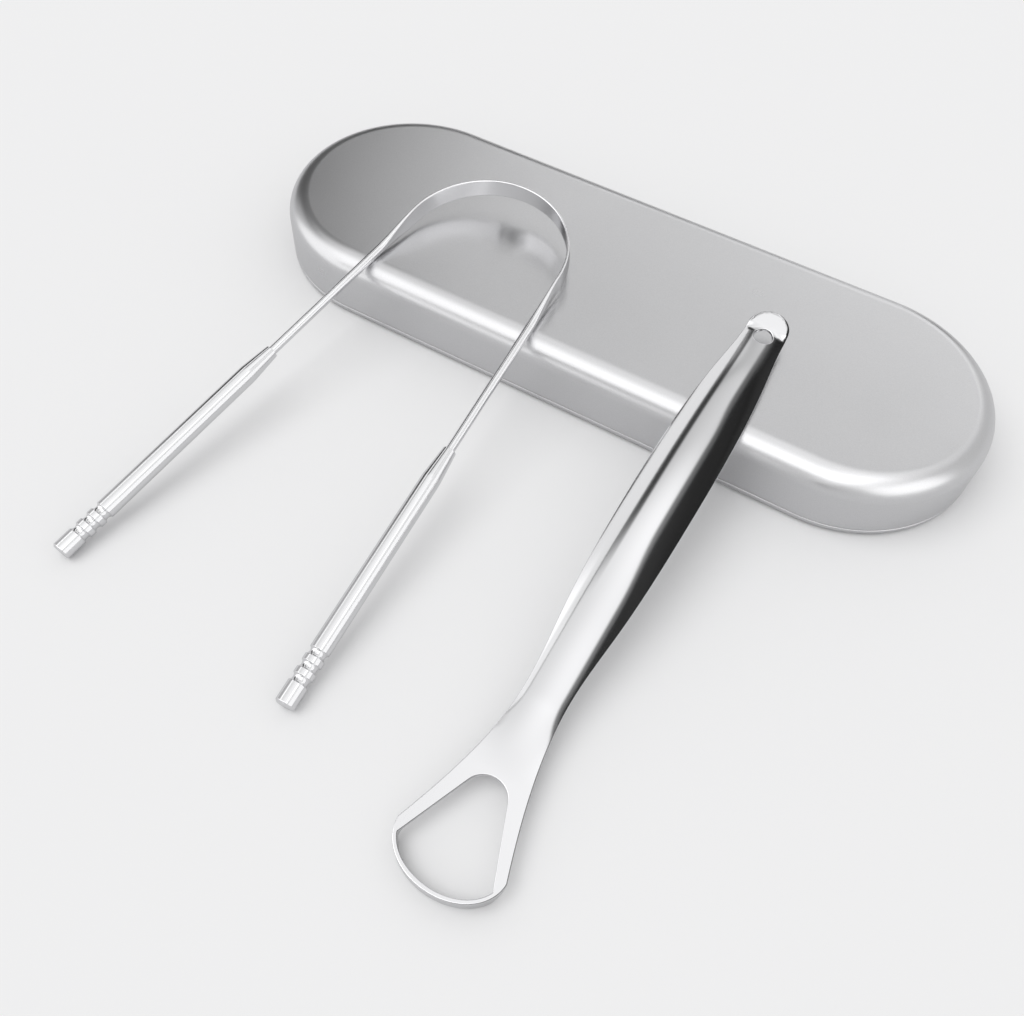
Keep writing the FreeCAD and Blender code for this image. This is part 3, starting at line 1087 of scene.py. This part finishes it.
    def blade_foot(self, plan: Array) -> Array:
        """Work out the blade that is turned down at the front.

        Args:
            plan: rows of two plan coordinates.

        Returns:
            How far below the plate the sheet reaches at each point.
        """
        foot = self.front_depth - self.fold_length
        share = np.clip((self.front_depth - plan[:, 1]) / self.fold_length, 0.0, 1.0)
        share = np.where(plan[:, 1] < foot, 1.0, share)
        deep = self.front_depth - np.minimum(plan[:, 1], self.front_depth)
        edge = self.half * np.sqrt(np.clip(1 - (deep / self.front_depth) ** 2, 0.0, 1.0))
        inward = np.where(plan[:, 1] < foot, 0.0, edge - np.abs(plan[:, 0]))
        strip = 1 - ease((inward - self.sheet) / (self.blade_fade * self.sheet))
        return (self.blade_height - self.sheet) * share * strip

    def make(self) -> bpy.types.Object:
        """Make the whole pressed sheet.

        Returns:
            The new piece.
        """
        loops = [self.outline(), self.cut_out()[::-1], self.hole()[::-1]]
        ways = [self.sideways(loop) for loop in loops]
        inner = [loop - way * self.edge_rounding for loop, way in zip(loops, ways)]
        plan = np.vstack(inner + [self.fill_points(inner)])
        edges = []
        first = 0
        for loop in inner:
            count = len(loop)
            edges += [(first + i, first + (i + 1) % count) for i in range(count)]
            first += count
        result = delaunay_2d_cdt([Vector(p) for p in plan], edges, [], 0, self.merge_distance)
        plan = np.array([tuple(p) for p in result[0]])
        triangles = np.array(result[2])
        middles = plan[triangles].mean(axis=1)
        triangles = triangles[self.in_sheet(middles, inner)]
        where = {source: new for new, sources in enumerate(result[3]) for source in sources}
        return self.thicken(plan, triangles, inner, ways, where)

    def in_sheet(self, points: Array, loops: Sequence[Array]) -> Array:
        """Find the points that lie inside the outline and not in an opening.

        Args:
            points: rows of two plan coordinates.
            loops: the outline, then the openings.

        Returns:
            Whether each point lies in the sheet.
        """
        outline, *openings = loops
        found = self.inside(points, outline)
        for opening in openings:
            found &= ~self.inside(points, opening)
        return found

    def fill_points(self, loops: Sequence[Array]) -> Array:
        """Spread points evenly in the sheet, clear of its edges.

        Args:
            loops: the outline, then the openings.

        Returns:
            Rows of two plan coordinates.
        """
        across = np.arange(-self.half, self.half, self.spacing)
        along = np.arange(0.0, self.length, self.spacing * self.row_share)
        shifts = [(row % 2) * self.spacing / 2 for row in range(len(along))]
        grid = np.array([(x + shift, y) for shift, y in zip(shifts, along) for x in across])
        grid = grid[self.in_sheet(grid, loops)]
        border = np.vstack(loops)
        gaps = np.array([np.min(np.hypot(*(border - point).T)) for point in grid])
        return grid[gaps > self.clear_share * self.spacing]

    def thicken(self, plan: Array, triangles: Array, loops: Sequence[Array], ways: Sequence[Array],
                where: dict[int, int]) -> bpy.types.Object:
        """Give a flat net of triangles the sheet's form, thickness and rounded edges.

        Args:
            plan: plan points of the net.
            triangles: vertex numbers of its triangles, counter-clockwise.
            loops: the border loops.
            ways: outward plan directions at the border points.
            where: net vertex number of each border point.

        Returns:
            The new piece.
        """
        up = self.tilt(plan)
        upper = np.column_stack([plan, self.top(plan[:, 0], plan[:, 1])])
        drop = self.blade_foot(plan)
        lower = upper - up * self.sheet - np.column_stack([np.zeros_like(plan), drop])
        draft = Draft()
        top_first = draft.add(upper, up)
        low_first = draft.add(lower, -up)
        for a, b, c in triangles:
            draft.faces.append((top_first + a, top_first + b, top_first + c))
            draft.faces.append((low_first + c, low_first + b, low_first + a))
        source = 0
        for loop, way in zip(loops, ways):
            index = np.array([where[source + i] for i in range(len(loop))])
            source += len(loop)
            self.edge(draft, upper[index], lower[index], up[index], way,
                      index + top_first, index + low_first)
        return draft.build("pressed_loop", self.place)

    def edge(self, draft: Draft, upper: Array, lower: Array, up: Array, way: Array,
             top_ring: Array, low_ring: Array) -> None:
        """Add a rounded edge along one border.

        Args:
            draft: the mesh that the edge goes into.
            upper: border points of the upper face.
            lower: border points of the lower face.
            up: upward normals at the border.
            way: outward plan directions at the border.
            top_ring: vertex numbers of the upper border.
            low_ring: vertex numbers of the lower border.
        """
        flat = np.column_stack([way, np.zeros(len(way))])
        out = flat - up * np.sum(flat * up, axis=1, keepdims=True)
        out /= np.linalg.norm(out, axis=1, keepdims=True)
        count = len(way)
        radius = self.edge_rounding
        rings = [top_ring]
        for base, lift in ((upper, 1.0), (lower, -1.0)):
            angles = np.linspace(0, math.pi / 2, self.edge_steps + 1)[1:]
            for angle in angles if lift > 0 else angles[::-1]:
                normal = out * math.sin(angle) + up * lift * math.cos(angle)
                shift = out * math.sin(angle) + up * lift * (math.cos(angle) - 1)
                first = draft.add(base + shift * radius, normal)
                rings.append(np.arange(first, first + count))
        rings.append(low_ring)
        for high, low in zip(rings, rings[1:]):
            for i in range(count):
                j = (i + 1) % count
                draft.faces.append((high[i], low[i], low[j], high[j]))

    def build(self) -> list[bpy.types.Object]:
        """Build and dress the loop scraper.

        Returns:
            The pressed sheet, the only piece.
        """
        piece = self.make()
        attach(piece, Body.LOOP.value)
        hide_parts("loop_scraper")
        POLISHED_STEEL.dress(piece)
        return [piece]


@dataclass(frozen=True)
class FrontGap:
    """A round dark gap in the tent's front panel.

    Args:
        aside: how far its middle leans to the right for each unit of height.
        ahead: how far its middle leans to the back.
        reach: its radius in the same measure.
    """

    aside: float
    ahead: float
    reach: float


@dataclass
class MirrorTent:
    """The tent of pale panels that polished metal mirrors, as a brightness for each direction.

    A direction is measured by how far it leans aside, to the right, and ahead, to the back, for each unit of
    height. Each fade is the edge of a panel or a change along it.
    """

    least_height: float = 0.02
    roof: Fade = Fade(0.28, 0.60, 1.45, 0.98)
    roof_middle: Fade = Fade(0.02, 0.26, 0.10, 0.0)
    roof_left: Fade = Fade(-0.65, 0.15, 0.82, 1.0)
    dip_start: Fade = Fade(0.92, 1.03, 0.0, 0.30)
    dip_end: Fade = Fade(1.05, 1.18, 1.0, 0.0)
    back_wall: Fade = Fade(1.05, 1.3, 0.0, 0.40)
    front: Fade = Fade(-0.5, 0.0, 0.75, 0.0)
    front_foot: Fade = Fade(-2.0, -1.45, 1.1, 0.0)
    left_edge: Fade = Fade(-1.02, -0.90, 1.0, 0.0)
    left_panel: Fade = Fade(-0.5, 0.2, 1.6, 0.10)
    side_fill: Fade = Fade(0.15, 0.4, 0.6, 0.0)
    side_fill_head: Fade = Fade(-1.7, -1.2, 1.0, 0.0)
    seam_left: Fade = Fade(-1.02, -0.90, 0.0, 1.0)
    seam_right: Fade = Fade(-0.68, -0.58, 1.0, 0.0)
    seam_depth: Fade = Fade(0.08, 0.5, 0.03, 0.94)
    seam_back: Fade = Fade(1.25, 1.5, 1.0, 0.3)
    edge_inward: Fade = Fade(0.6, 0.78, 0.0, 0.14)
    edge_back: Fade = Fade(1.02, 1.15, 1.0, 0.0)
    edge_outward: Fade = Fade(0.08, 0.28, 0.22, 0.0)
    right_near: Fade = Fade(0.21, 0.33, 1.0, 0.18)
    right_far: Fade = Fade(0.38, 0.54, 1.0, 0.16)
    front_gaps: tuple[FrontGap, ...] = (FrontGap(0.35, -1.7, 0.45), FrontGap(-0.68, -2.25, 0.75))
    gap_core: float = 0.5
    gap_level: float = 0.15

    def brightness(self, nodes: Nodes) -> bpy.types.NodeSocket:
        """Work out how bright the tent is in the direction that a mirror looks.

        Args:
            nodes: the world's nodes.

        Returns:
            The brightness, 1 for white.
        """
        way = nodes.add("ShaderNodeSeparateXYZ")
        nodes.feed(way.inputs[0], nodes.add("ShaderNodeTexCoord").outputs["Generated"])
        height = nodes.math("MAXIMUM", way.outputs["Z"], self.least_height)
        aside = nodes.math("DIVIDE", way.outputs["X"], height)
        ahead = nodes.math("DIVIDE", way.outputs["Y"], height)
        leftward = nodes.math("MINIMUM", way.outputs["X"], -self.least_height)
        slant = nodes.math("ABSOLUTE", nodes.math("DIVIDE", way.outputs["Y"], leftward))
        left = nodes.fade(aside, self.left_edge)
        panel = nodes.product(self.roof_and_front(nodes, aside, ahead), nodes.minus(1.0, left))
        panel = nodes.total(panel, nodes.product(left, self.left_side(nodes, aside, ahead, slant)))
        panel = nodes.product(panel, self.left_seam(nodes, aside, ahead))
        panel = self.right_edge(nodes, panel, aside, ahead)
        for gap in self.front_gaps:
            panel = nodes.product(panel, self.round_gap(nodes, gap, aside, ahead))
        return panel

    def roof_and_front(self, nodes: Nodes, aside: bpy.types.NodeSocket,
                       ahead: bpy.types.NodeSocket) -> bpy.types.NodeSocket:
        """Return the brightness of the roof, the back wall and the front panel.

        Args:
            nodes: the world's nodes.
            aside: the direction's lean to the right.
            ahead: its lean to the back.

        Returns:
            The brightness of all three.
        """
        roof = nodes.minus(nodes.fade(ahead, self.roof), nodes.fade(ahead, self.roof_middle))
        dip = nodes.product(nodes.fade(ahead, self.dip_start), nodes.fade(ahead, self.dip_end))
        panel = nodes.minus(nodes.total(roof, nodes.fade(ahead, self.back_wall)), dip)
        panel = nodes.product(panel, nodes.fade(aside, self.roof_left))
        panel = nodes.total(panel, nodes.fade(ahead, self.front))
        return nodes.minus(panel, nodes.fade(ahead, self.front_foot))

    def left_side(self, nodes: Nodes, aside: bpy.types.NodeSocket, ahead: bpy.types.NodeSocket,
                  slant: bpy.types.NodeSocket) -> bpy.types.NodeSocket:
        """Return the brightness of the left panel with the fill low beside it.

        Args:
            nodes: the world's nodes.
            aside: the direction's lean to the right.
            ahead: its lean to the back.
            slant: how far it turns from straight left.

        Returns:
            The brighter of the two.
        """
        fill = nodes.product(nodes.fade(slant, self.side_fill), nodes.fade(aside, self.side_fill_head))
        return nodes.math("MAXIMUM", nodes.fade(ahead, self.left_panel), fill)

    def left_seam(self, nodes: Nodes, aside: bpy.types.NodeSocket,
                  ahead: bpy.types.NodeSocket) -> bpy.types.NodeSocket:
        """Return the share of light that the dark seam left of the roof lets through.

        Args:
            nodes: the world's nodes.
            aside: the direction's lean to the right.
            ahead: its lean to the back.

        Returns:
            The share, 1 away from the seam.
        """
        seam = nodes.product(nodes.fade(aside, self.seam_left), nodes.fade(aside, self.seam_right))
        depth = nodes.product(nodes.fade(ahead, self.seam_depth), nodes.fade(ahead, self.seam_back))
        return nodes.minus(1.0, nodes.product(seam, depth))

    def right_edge(self, nodes: Nodes, panel: bpy.types.NodeSocket, aside: bpy.types.NodeSocket,
                   ahead: bpy.types.NodeSocket) -> bpy.types.NodeSocket:
        """End the panels in two steps along a bent line on the right.

        Args:
            nodes: the world's nodes.
            panel: the panels' brightness.
            aside: the direction's lean to the right.
            ahead: its lean to the back.

        Returns:
            The brightness with the right side dark.
        """
        inward = nodes.product(nodes.fade(ahead, self.edge_inward), nodes.fade(ahead, self.edge_back))
        bend = nodes.minus(inward, nodes.fade(ahead, self.edge_outward))
        edge = nodes.total(aside, bend)
        stepped = nodes.product(panel, nodes.fade(edge, self.right_near))
        return nodes.product(stepped, nodes.fade(edge, self.right_far))

    def round_gap(self, nodes: Nodes, gap: FrontGap, aside: bpy.types.NodeSocket,
                  ahead: bpy.types.NodeSocket) -> bpy.types.NodeSocket:
        """Return the share of light that a gap in the front panel leaves.

        Args:
            nodes: the world's nodes.
            gap: the gap.
            aside: the direction's lean to the right.
            ahead: its lean to the back.

        Returns:
            The share, 1 away from the gap.
        """
        off = nodes.distance(nodes.minus(aside, gap.aside), nodes.minus(ahead, gap.ahead))
        return nodes.fade(off, Fade(self.gap_core * gap.reach, gap.reach, self.gap_level, 1.0))


@dataclass(frozen=True)
class SidePanel:
    """A pale panel beside the set that only one of its three things mirrors.

    Args:
        name: the panel's name.
        mirrored_by: the thing that mirrors it.
        foot: elevation of its foot in degrees, past 90 on the left.
        head: elevation of its head in degrees.
        strength: its brightness, 1 for white.
        front: where its front end lies along the set's Y axis, in metres.
        back: where its back end lies.
    """

    name: str
    mirrored_by: Assembly
    foot: float
    head: float
    strength: float
    front: float = -3.0
    back: float = 3.0

    def build(self, distance: float, receivers: Sequence[bpy.types.Object]) -> None:
        """Add the panel to the scene.

        Args:
            distance: how far its foot and head stand from the set's middle, in metres.
            receivers: the pieces that mirror it.
        """
        foot, head = (Vector((math.cos(angle), 0.0, math.sin(angle))) * distance
                      for angle in (math.radians(self.foot), math.radians(self.head)))
        middle = (foot + head) / 2
        light = bpy.data.lights.new(self.name, "AREA")
        light.shape = "RECTANGLE"
        light.size = self.back - self.front
        light.size_y = (head - foot).length
        light.energy = self.strength * math.pi * light.size * light.size_y
        lamp = bpy.data.objects.new(self.name, light)
        lamp.location = middle + Vector((0.0, (self.front + self.back) / 2, 0.0))
        lamp.rotation_euler = middle.to_track_quat("Z", "Y").to_euler()
        lamp.visible_diffuse = False
        lamp.visible_camera = False
        lit = bpy.data.collections.new(f"mirrors_{self.name}")
        for piece in receivers:
            lit.objects.link(piece)
        lamp.light_linking.receiver_collection = lit
        bpy.context.scene.collection.objects.link(lamp)


SIDE_PANELS = (
    SidePanel("right_panel_low", Assembly.WIRE_SCRAPER, 0.0, 46.0, 1.12),
    SidePanel("right_panel_high", Assembly.WIRE_SCRAPER, 47.0, 73.5, 0.88),
    SidePanel("right_panel_case", Assembly.CASE, 0.0, 46.0, 0.6),
    SidePanel("right_roof_case", Assembly.CASE, 47.0, 73.5, 0.78),
    SidePanel("right_corner_case", Assembly.CASE, 8.0, 46.0, 0.9, front=-0.75, back=0.1),
    SidePanel("left_panel_wire", Assembly.WIRE_SCRAPER, 149.0, 134.0, 0.92),
    SidePanel("left_panel_loop", Assembly.LOOP_SCRAPER, 168.0, 134.0, 0.82),
    SidePanel("left_panel_case", Assembly.CASE, 135.0, 120.0, 0.5, front=0.6),
)


@dataclass
class Studio:
    """The floor, the panels that the metal mirrors, the light and the camera."""

    floor_size: float = 6.0
    floor_colour: Colour = (0.86, 0.86, 0.865)
    # Painted shade: the floor's colour where polished metal mirrors it, darker than the floor itself.
    painted_shade_floor_in_mirrors: Colour = (0.68, 0.68, 0.685)
    floor_roughness: float = 0.9
    ambient: float = 0.90
    backdrop: float = 0.87
    second_mirror: Fade = Fade(2.0, 3.0, 1.0, 0.5)
    key_strength: float = 1.0
    key_angle: float = 50.0
    key_direction: Point = (0.35, 0.25, -0.9)
    panel_distance: float = 0.9
    camera_place: Point = (0.05616, -0.15898, 0.16480)
    camera_right: Point = (0.8652, 0.4994, 0.0458)
    camera_down: Point = (0.4327, -0.6975, -0.5713)
    camera_forward: Point = (-0.2534, 0.5141, -0.8195)
    camera_nearest: float = 0.005
    camera_farthest: float = 50.0
    focal_pixels: float = 1009.8
    image_width: float = 1024.0
    sensor: float = 36.0

    def make_floor(self) -> None:
        """Add the plain pale floor, with painted shade: where polished metal mirrors it, the floor takes a
        darker colour.
        """
        half = self.floor_size / 2
        mesh = bpy.data.meshes.new("floor")
        corners = [(-half, -half, 0), (half, -half, 0), (half, half, 0), (-half, half, 0)]
        mesh.from_pydata(corners, [], [(0, 1, 2, 3)])
        floor = bpy.data.objects.new("floor", mesh)
        bpy.context.scene.collection.objects.link(floor)
        material = bpy.data.materials.new("pale_floor")
        material.use_nodes = True
        paper = material.node_tree.nodes["Principled BSDF"]
        nodes = Nodes(material.node_tree)
        floor_tone_with_painted_shade = nodes.add("ShaderNodeMix", data_type="RGBA")
        # Painted shade: rays sent by a mirror see the darker floor colour, which stands in for shade on the
        # floor.
        nodes.feed(floor_tone_with_painted_shade.inputs["Factor"], nodes.add("ShaderNodeLightPath").outputs["Is Glossy Ray"])
        nodes.feed(floor_tone_with_painted_shade.inputs["A"], (*self.floor_colour, 1.0))
        nodes.feed(floor_tone_with_painted_shade.inputs["B"], (*self.painted_shade_floor_in_mirrors, 1.0))
        nodes.feed(paper.inputs["Base Color"], floor_tone_with_painted_shade.outputs["Result"])
        paper.inputs["Roughness"].default_value = self.floor_roughness
        paper.inputs["Specular IOR Level"].default_value = 0.0
        mesh.materials.append(material)

    def make_world(self) -> None:
        """Light the scene evenly, and show mirrors a tent of pale panels that is open to the right."""
        world = bpy.data.worlds.new("studio")
        bpy.context.scene.world = world
        world.use_nodes = True
        tree = world.node_tree
        tree.nodes.clear()
        nodes = Nodes(tree)
        output = nodes.add("ShaderNodeOutputWorld")
        sky = nodes.add("ShaderNodeBackground")
        nodes.feed(output.inputs["Surface"], sky.outputs["Background"])
        rays = nodes.add("ShaderNodeLightPath")
        dimmed = nodes.fade(rays.outputs["Ray Depth"], self.second_mirror)
        panel = nodes.product(MirrorTent().brightness(nodes), dimmed)
        seen = nodes.product(rays.outputs["Is Camera Ray"], self.backdrop - self.ambient)
        plain = nodes.total(seen, self.ambient)
        mirrored = nodes.product(rays.outputs["Is Glossy Ray"], nodes.minus(panel, plain))
        nodes.feed(sky.inputs["Strength"], nodes.total(plain, mirrored))

    def make_key(self) -> None:
        """Add the soft key light from the front left."""
        sun = bpy.data.lights.new("key", "SUN")
        sun.energy = self.key_strength
        sun.angle = math.radians(self.key_angle)
        lamp = bpy.data.objects.new("key", sun)
        lamp.rotation_euler = Vector(self.key_direction).to_track_quat("-Z", "Y").to_euler()
        lamp.visible_glossy = False
        bpy.context.scene.collection.objects.link(lamp)

    def make_camera(self) -> None:
        """Set up the camera at the photograph's place and angle."""
        lens = bpy.data.cameras.new("camera")
        lens.sensor_fit = "HORIZONTAL"
        lens.sensor_width = self.sensor
        lens.lens = self.sensor * self.focal_pixels / self.image_width
        lens.clip_start = self.camera_nearest
        lens.clip_end = self.camera_farthest
        camera = bpy.data.objects.new("camera", lens)
        right, down, forward = (Vector(v).normalized() for v in
                                (self.camera_right, self.camera_down, self.camera_forward))
        turn = Matrix((right, -down, -forward)).transposed().to_4x4()
        camera.matrix_world = Matrix.Translation(self.camera_place) @ turn
        bpy.context.scene.collection.objects.link(camera)
        bpy.context.scene.camera = camera

    def build(self, pieces: Pieces) -> None:
        """Set up the whole studio.

        Args:
            pieces: the pieces of each of the set's things.
        """
        bpy.context.scene.view_settings.view_transform = "Standard"
        self.make_floor()
        self.make_world()
        self.make_key()
        for panel in SIDE_PANELS:
            panel.build(self.panel_distance, pieces[panel.mirrored_by])
        self.make_camera()


def main() -> None:
    """Build the set piece by piece, then the studio round it."""
    pieces: Pieces = {
        Assembly.CASE: Case().build(),
        Assembly.WIRE_SCRAPER: WireScraper().build(),
        Assembly.LOOP_SCRAPER: LoopScraper().build(),
    }
    for assembly, built in pieces.items():
        for piece in built:
            LOG.info("%s, %s: %d faces", assembly.value, piece.name, len(piece.data.polygons))
    Studio().build(pieces)


if __name__ == "__main__":
    main()
